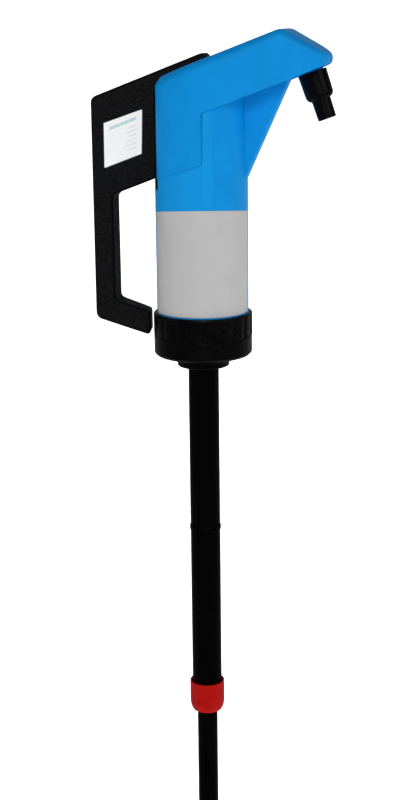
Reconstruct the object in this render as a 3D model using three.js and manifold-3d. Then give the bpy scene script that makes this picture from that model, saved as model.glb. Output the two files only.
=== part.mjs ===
// Lever-operated drum pump: blue barrel with a spout head, black loop lever, telescopic suction tube.
// Millimetres, +Z up. The origin is the centre of the collar's underside, where the pump sits on a
// drum's bung; +X points to the spout and the lever's grip hangs on the -X side.
import * as THREE from "three";
import { mergeVertices } from "three/addons/utils/BufferGeometryUtils.js";
import Module from "manifold-3d";

const wasm = await Module();
wasm.setup();

// ---------------------------------------------------------------- driving dimensions
const GAP = 0.3; // clearance between pieces that touch or run on each other
const DEGREE = Math.PI / 180;

const barrel = { outer: 47.4, bore: 44, foot: 10.2, facets: 48 };
const hood = {
  radius: 48.2, // plan radius round the barrel
  wall: 2.2,
  roofSlope: 0.378,
  roofAtAxis: 297.2,
  crestX: 86.8,
  crestBlend: 4, // height over which the crest is rounded
  noseSlope: 0.56,
  noseTipX: 131.5,
  noseCornerX: 110.5,
  noseCornerY: 12,
  noseCornerRadius: 21,
  undersideAtAxis: 245.3, // the underside runs parallel to the roof
  skirtAtAxis: 196, // lower edge of the cheeks
  skirtSlope: 0.335,
  cheekEdgeX: 11.3,
  edgeRadius: 7, // of the top edge at the back, 4.5 mm less at the nose tip, 6 mm more between
};
const slot = { halfWidth: 27, foot: 172, roofHalfWidth: 14.5, roofEndX: 16.5, wallX: -33, backX: -36 };
const web = { half: 9, ductHalf: 6.5, wall: 3.08, lowX: 47.3, lowZ: 183.1, slope: 0.457 };
const tray = { fromX: 12, low: 1.5, high: 4.3, lip: 16 }; // heights above the underside
const channel = { half: 13.5, ductHalf: 11, endX: 122.8, topRise: 24 };
const nozzle = { x: 112.6, z: 287.8, tilt: 19 * DEGREE, bore: 8, facets: 28 };
const collar = { ringOuter: 51.3, ringInner: 47.7, ringFoot: 20.8, top: 45, ribs: 20, ribDepth: 0.9 };
const cap = { outer: 51, top: 20.5, floor: 8, nippleOuter: 27.2, nippleFoot: -12, nippleEdge: 0.8 };
const label = { outer: 47.8, foot: 46.5, top: 154.5, centre: 13 * DEGREE, halfAngle: 75 * DEGREE };
const tube = { outer: 16, bore: 13.6, spigot: 14.8, top: 1.7, end: -384, facets: 28 };
const joint = { top: -187.5, foot: -193, outer: 16.8, middle: -190.25 };
const nut = { top: -368.5, foot: -402.6, outer: 18.8 };
const innerTube = { outer: 11, bore: 9, top: -180, end: -590 };
const strainer = { top: -560, foot: -600, outer: 14 };
const fulcrum = { x: -28, z: 258, pinRadius: 4.5, pinHalf: 32 };
const lever = {
  half: 13.5,
  hubRadius: 12,
  hubHalf: 26,
  restAngle: 32 * DEGREE,
  hookRootX: -70,
  hookTopZ: 60,
  hookLean: 4.2, // the far side of the hook's end face lies this much nearer the grip
};
const rod = { radius: 6, foot: 118, pinRadius: 5, eyeRadius: 11, eyeHalf: 6 };
const rodPinZ = fulcrum.z - fulcrum.x * Math.tan(lever.restAngle);
const gland = { foot: 200, top: 206, bossTop: 216, bossRadius: 13, bore: 6.4 };
const REACH = 400; // half size of a cutting tool that runs right through the pump

const roofZ = (x) => {
  const rise = hood.roofAtAxis + hood.roofSlope * x;
  const crest = hood.roofAtAxis + hood.roofSlope * hood.crestX;
  const fall = crest - hood.noseSlope * (x - hood.crestX);
  const near = Math.max(hood.crestBlend - Math.abs(rise - fall), 0) / hood.crestBlend;
  return Math.min(rise, fall) - (near * near * hood.crestBlend) / 4;
};
const undersideZ = (x) => hood.undersideAtAxis + hood.roofSlope * x;
const skirtZ = (x) => hood.skirtAtAxis + hood.skirtSlope * x;
const webX = (z) => web.lowX + (z - web.lowZ) * web.slope;

// ---------------------------------------------------------------- solids
function toSolid(geometry) {
  const loose = geometry.index ? geometry.toNonIndexed() : geometry;
  const bare = new THREE.BufferGeometry().setAttribute("position", loose.getAttribute("position"));
  const merged = mergeVertices(bare, 1e-4);
  return new wasm.Manifold(
    new wasm.Mesh({
      numProp: 3,
      vertProperties: merged.attributes.position.array,
      triVerts: new Uint32Array(merged.index.array),
    }),
  );
}

function toGeometry(solid) {
  const { vertProperties, numProp, triVerts, numVert } = solid.getMesh();
  const positions = new Float32Array(numVert * 3);
  for (let i = 0; i < numVert; i++)
    positions.set(vertProperties.subarray(i * numProp, i * numProp + 3), i * 3);
  const geometry = new THREE.BufferGeometry();
  geometry.setAttribute("position", new THREE.BufferAttribute(positions, 3));
  geometry.setIndex(new THREE.BufferAttribute(triVerts, 1));
  geometry.computeVertexNormals();
  return geometry;
}

// A ring turned about Z from a closed profile of [radius, z] points.
function turned(profile, segments = 32) {
  const area = profile.reduce((sum, [r, z], i) => {
    const [nextR, nextZ] = profile[(i + 1) % profile.length];
    return sum + r * nextZ - nextR * z;
  }, 0);
  const ordered = area > 0 ? profile : [...profile].reverse();
  const points = [...ordered, ordered[0]].map(([r, z]) => new THREE.Vector2(r, z));
  return toSolid(new THREE.LatheGeometry(points, segments).rotateX(Math.PI / 2));
}

const ring = (inner, outer, foot, top, segments) =>
  turned([[inner, foot], [outer, foot], [outer, top], [inner, top]], segments);

// A full cylinder along Z, or along Y when turned on its side.
function post(radius, foot, top, segments = 32) {
  const shape = new THREE.CylinderGeometry(radius, radius, top - foot, segments);
  return toSolid(shape.rotateX(Math.PI / 2).translate(0, 0, (foot + top) / 2));
}
function crossPin(radius, halfLength, x, z, segments = 20) {
  return toSolid(new THREE.CylinderGeometry(radius, radius, 2 * halfLength, segments).translate(x, 0, z));
}

function box([lowX, lowY, lowZ], [highX, highY, highZ]) {
  const shape = new THREE.BoxGeometry(highX - lowX, highY - lowY, highZ - lowZ);
  return toSolid(shape.translate((lowX + highX) / 2, (lowY + highY) / 2, (lowZ + highZ) / 2));
}

// A closed outline through [x, y, radius] corners, each rounded to its radius.
function roundedOutline(corners) {
  const shape = new THREE.Shape();
  corners.forEach(([x, y, radius = 0], i) => {
    const corner = new THREE.Vector2(x, y);
    const before = new THREE.Vector2(...corners.at(i - 1).slice(0, 2)).sub(corner);
    const after = new THREE.Vector2(...corners[(i + 1) % corners.length].slice(0, 2)).sub(corner);
    const half = Math.acos(before.dot(after) / before.length() / after.length()) / 2;
    const reach = radius / Math.tan(half);
    const start = before.setLength(reach || 1e-9).add(corner);
    const end = after.setLength(reach || 1e-9).add(corner);
    if (i === 0) shape.moveTo(radius ? start.x : x, radius ? start.y : y);
    else shape.lineTo(radius ? start.x : x, radius ? start.y : y);
    if (radius) shape.quadraticCurveTo(x, y, end.x, end.y);
  });
  shape.closePath();
  return shape;
}

// A plate in the XZ plane, between two values of Y, with optional rounded edges.
function plate(shape, lowY, highY, edge = 0, curveSegments = 4) {
  const settings = edge
    ? { bevelEnabled: true, bevelSize: edge, bevelThickness: edge, bevelOffset: -edge, bevelSegments: 2 }
    : { bevelEnabled: false };
  const depth = highY - lowY - 2 * edge;
  const geometry = new THREE.ExtrudeGeometry(shape, { depth, curveSegments, ...settings });
  return toSolid(geometry.rotateX(Math.PI / 2).translate(0, highY - edge, 0));
}

const sum = (...solids) => solids.reduce((a, b) => a.add(b));
const cut = (solid, ...tools) => tools.reduce((a, b) => a.subtract(b), solid);

// ---------------------------------------------------------------- the head's outer form
// Half of the plan outline, from the back of the barrel round the near side to the nose tip.
function planOutline(inset) {
  const arcSteps = 9;
  const radius = hood.radius - inset;
  const cornerRadius = hood.noseCornerRadius - inset;
  const points = [];
  for (let i = 0; i <= arcSteps; i++) {
    const angle = Math.PI + (i / arcSteps) * (Math.PI / 2);
    points.push([radius * Math.cos(angle), radius * Math.sin(angle)]);
  }
  const sideEnd = -hood.noseCornerY - cornerRadius;
  for (const x of [30, 58, 76, 82, 86, 90, 97])
    points.push([x, -radius + ((x * (sideEnd + radius)) / hood.noseCornerX)]);
  for (let i = 0; i <= 5; i++) {
    const angle = -Math.PI / 2 + (i / 5) * (Math.PI / 2);
    const x = hood.noseCornerX + cornerRadius * Math.cos(angle);
    points.push([x, -hood.noseCornerY + cornerRadius * Math.sin(angle)]);
  }
  points.push([hood.noseTipX - inset, 0]);
  return points;
}

// The head as a solid: the outline, shrunk by inset and lowered by drop, with rounded top edges.
function headForm(inset, drop, floor) {
  const count = planOutline(0).length - 1;
  const edgeRadius = (i) => {
    const share = i / count;
    return Math.max(hood.edgeRadius - 4.5 * share + 6 * Math.sin(share * Math.PI) - inset, 2);
  };
  const rings = [];
  const addRing = (insetAt, heightAt) => {
    const points = [];
    for (let i = 0; i <= count; i++) {
      const [x, y] = planOutline(inset + insetAt(i))[i];
      points.push([x, i === 0 || i === count ? 0 : y, heightAt(i, x)]);
    }
    for (let i = count - 1; i > 0; i--) points.push([points[i][0], -points[i][1], points[i][2]]);
    rings.push(points);
  };
  addRing(() => 0, () => floor);
  for (const angle of [0, 22.5, 45, 67.5, 90]) {
    const inward = 1 - Math.cos(angle * DEGREE);
    const down = 1 - Math.sin(angle * DEGREE);
    addRing((i) => edgeRadius(i) * inward, (i, x) => roofZ(x) - drop - edgeRadius(i) * down);
  }
  const positions = [];
  const triangle = (a, b, c) => positions.push(...a, ...b, ...c);
  const around = 2 * count;
  for (let k = 0; k + 1 < rings.length; k++)
    for (let i = 0; i < around; i++) {
      const j = (i + 1) % around;
      triangle(rings[k][i], rings[k][j], rings[k + 1][j]);
      triangle(rings[k][i], rings[k + 1][j], rings[k + 1][i]);
    }
  // The roof and the floor are strips across the outline, one between each pair of stations.
  const strip = (points, flip) => {
    const far = (i) => points[(around - i) % around];
    for (let i = 0; i < count; i++) {
      const quad = [points[i], points[i + 1], far(i + 1), far(i)];
      if (flip) quad.reverse();
      if (quad[0] !== quad[1]) triangle(quad[0], quad[1], quad[2]);
      triangle(quad[0], quad[2], quad[3]);
    }
  };
  strip(rings[0], true);
  strip(rings.at(-1), false);
  const geometry = new THREE.BufferGeometry();
  geometry.setAttribute("position", new THREE.Float32BufferAttribute(withoutSlivers(positions), 3));
  return toSolid(geometry);
}

// Drops triangles that have two corners at one point.
function withoutSlivers(positions) {
  const kept = [];
  for (let i = 0; i < positions.length; i += 9) {
    const [a, b, c] = [0, 3, 6].map((k) => new THREE.Vector3(...positions.slice(i + k, i + k + 3)));
    const apart = a.distanceTo(b) > 1e-6 && b.distanceTo(c) > 1e-6 && c.distanceTo(a) > 1e-6;
    if (apart) kept.push(...positions.slice(i, i + 9));
  }
  return kept;
}

// Side view of what the hood covers: the cheeks over the barrel and the beam beyond them.
function coverRegion(gap) {
  const left = -60;
  const tip = hood.noseTipX + 0.3;
  const high = 345;
  const edge = hood.cheekEdgeX + gap;
  const outline = roundedOutline([
    [left, skirtZ(left) - gap],
    [edge, skirtZ(edge) - gap, 5],
    [edge, undersideZ(edge) - gap, 3],
    [tip + gap, undersideZ(tip) - gap, 9],
    [tip + gap, high],
    [left, high],
  ]);
  return plate(outline, -70, 70);
}

// ---------------------------------------------------------------- blue pieces
function hoodCover() {
  const shell = cut(headForm(0, 0, 150), headForm(hood.wall, hood.wall + 0.4, 140));
  const backSlot = box([-REACH, -slot.halfWidth, 100], [slot.backX, slot.halfWidth, REACH]);
  const roofSlot = box([-REACH, -slot.roofHalfWidth, 200], [slot.roofEndX, slot.roofHalfWidth, REACH]);
  return cut(shell.intersect(coverRegion(0)), backSlot, roofSlot);
}

// The floor of the beam, turned up behind the nose's rounded lower corner.
function beamTray() {
  const front = hood.noseTipX - 1.2;
  const { low, high, lip } = tray;
  const back = front - (high - low);
  const outline = roundedOutline([
    [tray.fromX, undersideZ(tray.fromX) + low],
    [front, undersideZ(front) + low, 8],
    [front, undersideZ(front) + lip],
    [back, undersideZ(back) + lip],
    [back, undersideZ(back) + high, 6],
    [tray.fromX, undersideZ(tray.fromX) + high],
  ]);
  return plate(outline, -70, 70);
}

function barrelBody() {
  const inside = headForm(hood.wall + GAP, hood.wall + 0.4 + GAP, 150);
  const cylinder = post(barrel.outer, barrel.foot, 320, barrel.facets);
  const lower = cut(cylinder, coverRegion(GAP));
  const upper = cylinder.intersect(inside);
  const gusset = plate(
    roundedOutline([
      [45.2, 179.4],
      [webX(179.4), 179.4],
      [webX(282), 282],
      [webX(282) + 2, undersideZ(webX(282) + 2) + 2.9],
      [45.4, undersideZ(45.4) + 2.9],
    ]),
    -web.half,
    web.half,
  );
  const trunk = plate(
    roundedOutline([
      [46, undersideZ(46) + 3],
      [channel.endX, undersideZ(channel.endX) + 3],
      [channel.endX, undersideZ(channel.endX) + 13],
      [100, undersideZ(100) + channel.topRise],
      [46, undersideZ(46) + channel.topRise],
    ]),
    -channel.half,
    channel.half,
  );
  const spigot = placeOnNozzle(ring(nozzle.bore, 11.6, -12, 4));
  const solid = sum(lower, upper, beamTray().intersect(inside), gusset, trunk.intersect(inside), spigot);
  const bore = post(barrel.bore, -REACH, REACH, barrel.facets);
  const duct = plate(
    roundedOutline([
      [50.2, 197],
      [43, 197],
      [43, 187],
      [webX(187) - web.wall, 187],
      [webX(281) - web.wall, 281],
      [webX(281) - web.wall, undersideZ(90) + 6],
      [50.2, undersideZ(50.2) + 6],
    ]),
    -web.ductHalf,
    web.ductHalf,
  );
  const channelDuct = plate(
    roundedOutline([
      [50.2, undersideZ(50.2) + 4.4],
      [channel.endX - 2.3, undersideZ(channel.endX - 2.3) + 4.4],
      [channel.endX - 2.3, undersideZ(channel.endX - 2.3) + 11],
      [99, undersideZ(99) + channel.topRise - 2.5],
      [50.2, undersideZ(50.2) + channel.topRise - 2.5],
    ]),
    -channel.ductHalf,
    channel.ductHalf,
  );
  const outlet = placeOnNozzle(post(nozzle.bore, -13, 8));
  const backSlot = box([-REACH, -slot.halfWidth, slot.foot], [-30, slot.halfWidth, REACH]);
  const hollow = cut(solid, bore, duct, channelDuct, outlet, backSlot);
  // The slot ends in a well, so that the lever's space stays apart from the pump chamber.
  const well = cut(
    box([-46, -29.5, 169.5], [slot.wallX + 2, 29.5, 207]).intersect(post(44.6, 160, 210)),
    box([-60, -slot.halfWidth, slot.foot], [slot.wallX, slot.halfWidth, 300]),
  );
  const ledge = cut(ring(41.8, 44.5, 198, 199.7), box([-60, -60, 190], [-31, 60, 210]));
  const bosses = cut(crossPin(9, 42, fulcrum.x, fulcrum.z), box([-60, -26.8, 200], [60, 26.8, 300]));
  const pinHole = crossPin(fulcrum.pinRadius + 0.3, 50, fulcrum.x, fulcrum.z);
  return cut(sum(hollow, well, ledge, bosses.intersect(inside)), pinHole);
}

// ---------------------------------------------------------------- outlet, on its own tilted axis
function placeOnNozzle(solid) {
  const tilt = (-nozzle.tilt * 180) / Math.PI;
  return solid.rotate([0, tilt, 0]).translate([nozzle.x, 0, nozzle.z]);
}
function nozzleNut() {
  const profile = [
    [12, -0.8],
    [14.6, -0.8],
    [14.1, -23.8],
    [12.9, -26.8],
    [10.6, -28.7],
    [10, -28.7],
    [10, -17.9],
    [12, -17.9],
  ];
  return turned(profile, nozzle.facets);
}
const nozzleGasket = () => ring(nozzle.bore, 11.4, -14.2, -12.3, 24);
function nozzleTail() {
  const profile = [
    [6.5, -14.5],
    [11.5, -14.5],
    [11.5, -17.4],
    [9.7, -17.4],
    [9.3, -47.8],
    [8.7, -48.6],
    [6.5, -48.6],
  ];
  return turned(profile, nozzle.facets);
}

// ---------------------------------------------------------------- collar, cap and foot valve
function collarRing() {
  const points = [];
  for (let i = 0; i < collar.ribs; i++)
    for (const [turn, depth] of [[0.04, 0], [0.6, 0], [0.68, collar.ribDepth], [0.96, collar.ribDepth]]) {
      const angle = ((i + turn) / collar.ribs) * 2 * Math.PI;
      const radius = collar.ringOuter - depth;
      points.push(new THREE.Vector2(radius * Math.cos(angle), radius * Math.sin(angle)));
    }
  const brimFoot = collar.top - 2.4;
  const depth = brimFoot - collar.ringFoot;
  const ribbed = new THREE.ExtrudeGeometry(new THREE.Shape(points), { depth, bevelEnabled: false });
  const brim = turned([
    [40, 40],
    [49.6, 40],
    [49.6, brimFoot],
    [collar.ringOuter, brimFoot],
    [collar.ringOuter, collar.top - 1.4],
    [collar.ringOuter - 1.4, collar.top],
    [40, collar.top],
  ]);
  return cut(sum(toSolid(ribbed.translate(0, 0, collar.ringFoot)), brim), post(collar.ringInner, 0, 60));
}
const baseCap = () =>
  turned([
    [tube.outer + 0.2, cap.nippleFoot],
    [cap.nippleOuter - cap.nippleEdge, cap.nippleFoot],
    [cap.nippleOuter, cap.nippleFoot + cap.nippleEdge],
    [cap.nippleOuter, 0],
    [cap.outer - 3, 0],
    [cap.outer, 3],
    [cap.outer, cap.top],
    [collar.ringInner, cap.top],
    [collar.ringInner, cap.floor],
    [innerTube.outer, cap.floor],
    [innerTube.outer, tube.top + GAP],
    [tube.outer + 0.2, tube.top + GAP],
  ]);
const footGasket = () => ring(44.6, 47.3, 8.05, 10);
const intakeValveDisc = () => post(18.6, 8.1, 11.1);
function intakeValveCage() {
  const windows = [45, 135].map((angle) => box([-30, -6, 11], [30, 6, 15.5]).rotate([0, 0, angle]));
  const bars = [0, 90].map((angle) => box([-21, -3, 15.8], [21, 3, 18.3]).rotate([0, 0, angle]));
  return sum(cut(ring(19.5, 22.5, 8.05, 18.3), ...windows), ...bars);
}

// ---------------------------------------------------------------- suction tubes
function upperTube() {
  const profile = [
    [tube.bore, joint.middle + 0.15],
    [tube.spigot, joint.middle + 0.15],
    [tube.spigot, joint.top + 0.2],
    [tube.outer, joint.top + 0.2],
    [tube.outer, tube.top],
    [tube.bore, tube.top],
  ];
  return turned(profile, tube.facets);
}
function tubeJointRing() {
  const profile = [
    [15.1, joint.foot],
    [16.3, joint.foot],
    [joint.outer, joint.foot + 0.8],
    [joint.outer, joint.top - 0.8],
    [16.3, joint.top],
    [15.1, joint.top],
  ];
  return turned(profile, tube.facets);
}
function lowerTube() {
  const profile = [
    [tube.bore, tube.end],
    [tube.outer, tube.end],
    [tube.outer, joint.foot - 0.2],
    [tube.spigot, joint.foot - 0.2],
    [tube.spigot, joint.middle - 0.15],
    [tube.bore, joint.middle - 0.15],
  ];
  return turned(profile, tube.facets);
}
function tubeClampNut() {
  const profile = [
    [16.4, nut.top - 2.6],
    [17.5, nut.top],
    [18.2, nut.top],
    [nut.outer, nut.top - 0.6],
    [nut.outer, -391.5],
    [18.4, -396],
    [17.4, -399.8],
    [15.9, nut.foot],
    [11.7, nut.foot],
    [11.7, -398],
    [16.1, -385.4],
    [16.4, -385.4],
  ];
  return turned(profile, tube.facets);
}
function clampCollet() {
  const cone = turned([[11.15, -396.5], [11.9, -396.5], [15.4, -385.5], [11.15, -385.5]]);
  return cut(cone, box([0, -1.5, -400], [30, 1.5, -380]));
}
const innerTubeBody = () => ring(innerTube.bore, innerTube.outer, innerTube.end, innerTube.top);
const stopRing = () => ring(11.15, 13.2, innerTube.top - 6, innerTube.top - 1, 24);
function footStrainer() {
  const cup = turned([
    [11.3, strainer.top],
    [13.4, strainer.top],
    [strainer.outer, strainer.top - 1],
    [strainer.outer, strainer.foot + 2],
    [strainer.outer - 2, strainer.foot],
    [5, strainer.foot],
    [5, strainer.foot + 2.5],
    [8.8, strainer.foot + 2.5],
    [8.8, innerTube.end - 0.3],
    [11.3, innerTube.end - 0.3],
  ]);
  const slots = [0, 60, 120].map((angle) => box([-20, -2.5, -596.5], [20, 2.5, -591]).rotate([0, 0, angle]));
  return cut(cup, ...slots);
}

// ---------------------------------------------------------------- lever
function leverHandle() {
  const outline = roundedOutline([
    [-111.6, 263, 8],
    [-112, 36.8, 9],
    [-53, 19.6, 4.5],
    [-53, 45.2, 4.5],
    [-90.4, 56.3, 6],
    [-90.6, 165, 8],
    [-38.5, 184.9, 5],
    [-38, 209],
    [-18, 240],
    [-8, 247],
    [10.8, 268, 6],
    [10.8, 300, 4.5],
    [4.8, 306.8, 4.5],
  ]);
  // The hook's end face leans back, so that its far side keeps clear of the barrel.
  const body = plate(outline, -lever.half, lever.half, 2.6).warp((point) => {
    const [x, y, z] = point;
    const depth = (y + lever.half) / (2 * lever.half);
    if (x > lever.hookRootX && z < lever.hookTopZ) point[0] -= lever.hookLean * depth;
  });
  const hub = crossPin(lever.hubRadius, lever.hubHalf, fulcrum.x, fulcrum.z, 32);
  const apron = ring(44.4, 47.2, slot.foot + 0.7, 268).intersect(box([-60, -25.5, 170], [-30, 25.5, 270]));
  const pocket = box([-16.5, -7.5, 230], [14, 7.5, 289]); // room for the rod's eye
  const along = (r) => [fulcrum.x + r * Math.cos(lever.restAngle), fulcrum.z + r * Math.sin(lever.restAngle)];
  const [innerX, innerZ] = along(27);
  const [outerX, outerZ] = along(34);
  const slotRadius = rod.pinRadius + 1.2;
  const across = [slotRadius * Math.sin(lever.restAngle), slotRadius * Math.cos(lever.restAngle)];
  const pinSlot = sum(
    crossPin(slotRadius, 20, innerX, innerZ),
    crossPin(slotRadius, 20, outerX, outerZ),
    plate(
      roundedOutline([
        [innerX + across[0], innerZ - across[1]],
        [outerX + across[0], outerZ - across[1]],
        [outerX - across[0], outerZ + across[1]],
        [innerX - across[0], innerZ + across[1]],
      ]),
      -20,
      20,
    ),
  );
  return cut(sum(body, hub, apron), crossPin(6.9, 40, fulcrum.x, fulcrum.z), pocket, pinSlot);
}
function leverBush() {
  const sleeve = crossPin(6.6, 25.5, fulcrum.x, fulcrum.z);
  return cut(sleeve, crossPin(fulcrum.pinRadius + 0.2, 40, fulcrum.x, fulcrum.z));
}
const fulcrumPin = () => crossPin(fulcrum.pinRadius, fulcrum.pinHalf, fulcrum.x, fulcrum.z);
function leverLabel() {
  const outline = roundedOutline([
    [-97.6, 237.6, 1],
    [-98, 192.6, 1],
    [-58.6, 207.4, 1],
    [-57.1, 251.5, 1],
  ]);
  return plate(outline, -lever.half - 0.45, -lever.half - 0.05);
}

// ---------------------------------------------------------------- pull rod and piston
function pistonRod() {
  const eye = crossPin(rod.eyeRadius, rod.eyeHalf, 0, rodPinZ);
  const shaft = post(rod.radius, rod.foot, rodPinZ - 5, 24);
  return cut(sum(eye, shaft), crossPin(rod.pinRadius + 0.15, 20, 0, rodPinZ));
}
const rodCrossPin = () => crossPin(rod.pinRadius, 13, 0, rodPinZ);
function piston() {
  const disc = turned([
    [rod.radius + 0.15, 120],
    [43.4, 120],
    [43.4, 124.5],
    [39.5, 124.5],
    [39.5, 130],
    [43.4, 130],
    [43.4, 134],
    [rod.radius + 0.15, 134],
  ]);
  const ports = [0, 60, 120, 180, 240, 300].map((angle) =>
    post(6, 110, 140, 10).translate([22, 0, 0]).rotate([0, 0, angle + 30]),
  );
  return cut(disc, ...ports);
}
const pistonSeal = () => ring(39.8, 43.85, 124.8, 129.7);
const pistonValveDisc = () => ring(6.5, 31, 134.3, 136.3);
const valveRetainer = () => cut(post(11, 139.6, 143, 6), post(rod.radius + 0.15, 130, 150, 24));
function rodGland() {
  const disc = turned([
    [gland.bore, gland.foot],
    [43.7, gland.foot],
    [43.7, gland.top],
    [gland.bossRadius, gland.top],
    [gland.bossRadius, gland.bossTop],
    [10.3, gland.bossTop],
    [10.3, 208],
    [gland.bore, 208],
  ]);
  return cut(disc, box([-60, -60, 190], [slot.wallX + 2 + GAP, 60, 220]));
}
const rodSeal = () => ring(6.3, 10, 208.2, 213);
const sealRetainer = () => ring(6.6, 10, 213.3, 215.8);
const glandClip = () => cut(ring(40.5, 43.7, 206.3, 208), box([-60, -60, 190], [-29, 60, 220]));

function barrelLabel() {
  const span = 64;
  const centre = -Math.PI / 2 + label.centre;
  const points = [];
  const arc = (radius, from, to) => {
    for (let i = 0; i <= span; i++) {
      const angle = from + ((to - from) * i) / span;
      points.push(new THREE.Vector2(radius * Math.cos(angle), radius * Math.sin(angle)));
    }
  };
  arc(label.outer, centre - label.halfAngle, centre + label.halfAngle);
  arc(barrel.outer + 0.05, centre + label.halfAngle, centre - label.halfAngle);
  const depth = label.top - label.foot;
  const sheet = new THREE.ExtrudeGeometry(new THREE.Shape(points), { depth, bevelEnabled: false });
  return toSolid(sheet.translate(0, 0, label.foot));
}

// ---------------------------------------------------------------- scene graph
const plastic = (color, roughness = 0.45) =>
  new THREE.MeshStandardMaterial({ color, roughness, metalness: 0 });
const steel = () => new THREE.MeshStandardMaterial({ color: 0xb9bcc0, roughness: 0.3, metalness: 1 });

function piece(name, solid, material) {
  const mesh = new THREE.Mesh(toGeometry(solid), material);
  mesh.name = name;
  return mesh;
}

const BLUE = 0x0a84d6;
const BLACK = 0x101214;
const GREY = 0xaaaaaa;
const RED = 0xa5160f;
const RUBBER = 0x1c1c1e;
const NATURAL = 0xd9d6c8;

const pump = new THREE.Group();

const body = new THREE.Group();
body.add(
  piece("hood_cover", hoodCover(), plastic(BLUE)),
  piece("barrel_body", barrelBody(), plastic(BLUE)),
  piece("barrel_label", barrelLabel(), plastic(GREY, 0.7)),
  piece("collar_ring", collarRing(), plastic(BLACK, 0.3)),
  piece("base_cap", baseCap(), plastic(BLACK, 0.3)),
  piece("foot_gasket", footGasket(), plastic(RUBBER, 0.8)),
  piece("intake_valve_cage", intakeValveCage(), plastic(NATURAL)),
  piece("intake_valve_disc", intakeValveDisc(), plastic(RUBBER, 0.8)),
);

const outlet = new THREE.Group();
outlet.position.set(nozzle.x, 0, nozzle.z);
outlet.rotation.y = -nozzle.tilt;
outlet.add(
  piece("nozzle_nut", nozzleNut(), plastic(BLACK, 0.35)),
  piece("nozzle_gasket", nozzleGasket(), plastic(RUBBER, 0.8)),
  piece("nozzle_tail", nozzleTail(), plastic(BLACK, 0.35)),
);

const suction = new THREE.Group();
suction.add(
  piece("upper_tube", upperTube(), plastic(BLACK, 0.4)),
  piece("tube_joint_ring", tubeJointRing(), plastic(BLACK, 0.4)),
  piece("lower_tube", lowerTube(), plastic(BLACK, 0.4)),
  piece("tube_clamp_nut", tubeClampNut(), plastic(RED, 0.4)),
  piece("clamp_collet", clampCollet(), plastic(NATURAL)),
  piece("inner_tube", innerTubeBody(), plastic(BLACK, 0.4)),
  piece("inner_tube_stop_ring", stopRing(), plastic(NATURAL)),
  piece("foot_strainer", footStrainer(), plastic(BLACK, 0.4)),
);

const leverGroup = new THREE.Group();
leverGroup.add(
  piece("lever_handle", leverHandle(), plastic(BLACK, 0.55)),
  piece("lever_bush", leverBush(), plastic(NATURAL)),
  piece("lever_label", leverLabel(), plastic(0xeef2f2, 0.5)),
);

const drive = new THREE.Group();
drive.add(
  piece("fulcrum_pin", fulcrumPin(), steel()),
  piece("piston_rod", pistonRod(), steel()),
  piece("rod_cross_pin", rodCrossPin(), steel()),
  piece("piston", piston(), plastic(NATURAL)),
  piece("piston_seal", pistonSeal(), plastic(RUBBER, 0.8)),
  piece("piston_valve_disc", pistonValveDisc(), plastic(RUBBER, 0.8)),
  piece("valve_retainer", valveRetainer(), steel()),
  piece("rod_gland", rodGland(), plastic(NATURAL)),
  piece("rod_seal", rodSeal(), plastic(RUBBER, 0.8)),
  piece("seal_retainer", sealRetainer(), plastic(NATURAL)),
  piece("gland_clip", glandClip(), steel()),
);

pump.add(body, outlet, suction, leverGroup, drive);
export default pump;
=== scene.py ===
"""Looks of a lever-operated drum pump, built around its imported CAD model.

Shapes are worked out in millimetres in the part's own frame (+X to the spout, +Z up, origin at
the collar's underside) and scaled to metres as they become objects.
"""
import math

import bmesh
import bpy
from mathutils import Matrix, Vector


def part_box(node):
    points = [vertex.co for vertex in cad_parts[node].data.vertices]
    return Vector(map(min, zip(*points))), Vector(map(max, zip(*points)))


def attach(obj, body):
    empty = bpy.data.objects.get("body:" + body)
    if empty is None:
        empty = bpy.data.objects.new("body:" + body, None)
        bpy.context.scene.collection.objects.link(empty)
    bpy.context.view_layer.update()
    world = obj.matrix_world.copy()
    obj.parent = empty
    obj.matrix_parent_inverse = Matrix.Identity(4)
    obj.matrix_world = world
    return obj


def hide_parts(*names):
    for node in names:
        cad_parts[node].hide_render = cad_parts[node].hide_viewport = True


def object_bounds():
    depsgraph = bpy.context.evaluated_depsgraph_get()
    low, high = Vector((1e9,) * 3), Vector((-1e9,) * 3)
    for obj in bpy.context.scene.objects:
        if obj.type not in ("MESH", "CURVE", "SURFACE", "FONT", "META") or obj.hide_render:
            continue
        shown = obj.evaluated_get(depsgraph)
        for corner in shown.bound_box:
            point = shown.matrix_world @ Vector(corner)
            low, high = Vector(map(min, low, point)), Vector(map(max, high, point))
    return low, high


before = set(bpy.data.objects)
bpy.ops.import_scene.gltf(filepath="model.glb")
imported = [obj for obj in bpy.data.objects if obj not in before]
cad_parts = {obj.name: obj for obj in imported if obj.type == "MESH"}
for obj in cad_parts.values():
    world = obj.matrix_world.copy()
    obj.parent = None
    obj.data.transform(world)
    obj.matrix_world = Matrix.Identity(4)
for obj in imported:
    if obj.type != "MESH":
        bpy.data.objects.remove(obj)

CAD_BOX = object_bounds()
MM = 0.001
DEGREE = math.pi / 180

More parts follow.
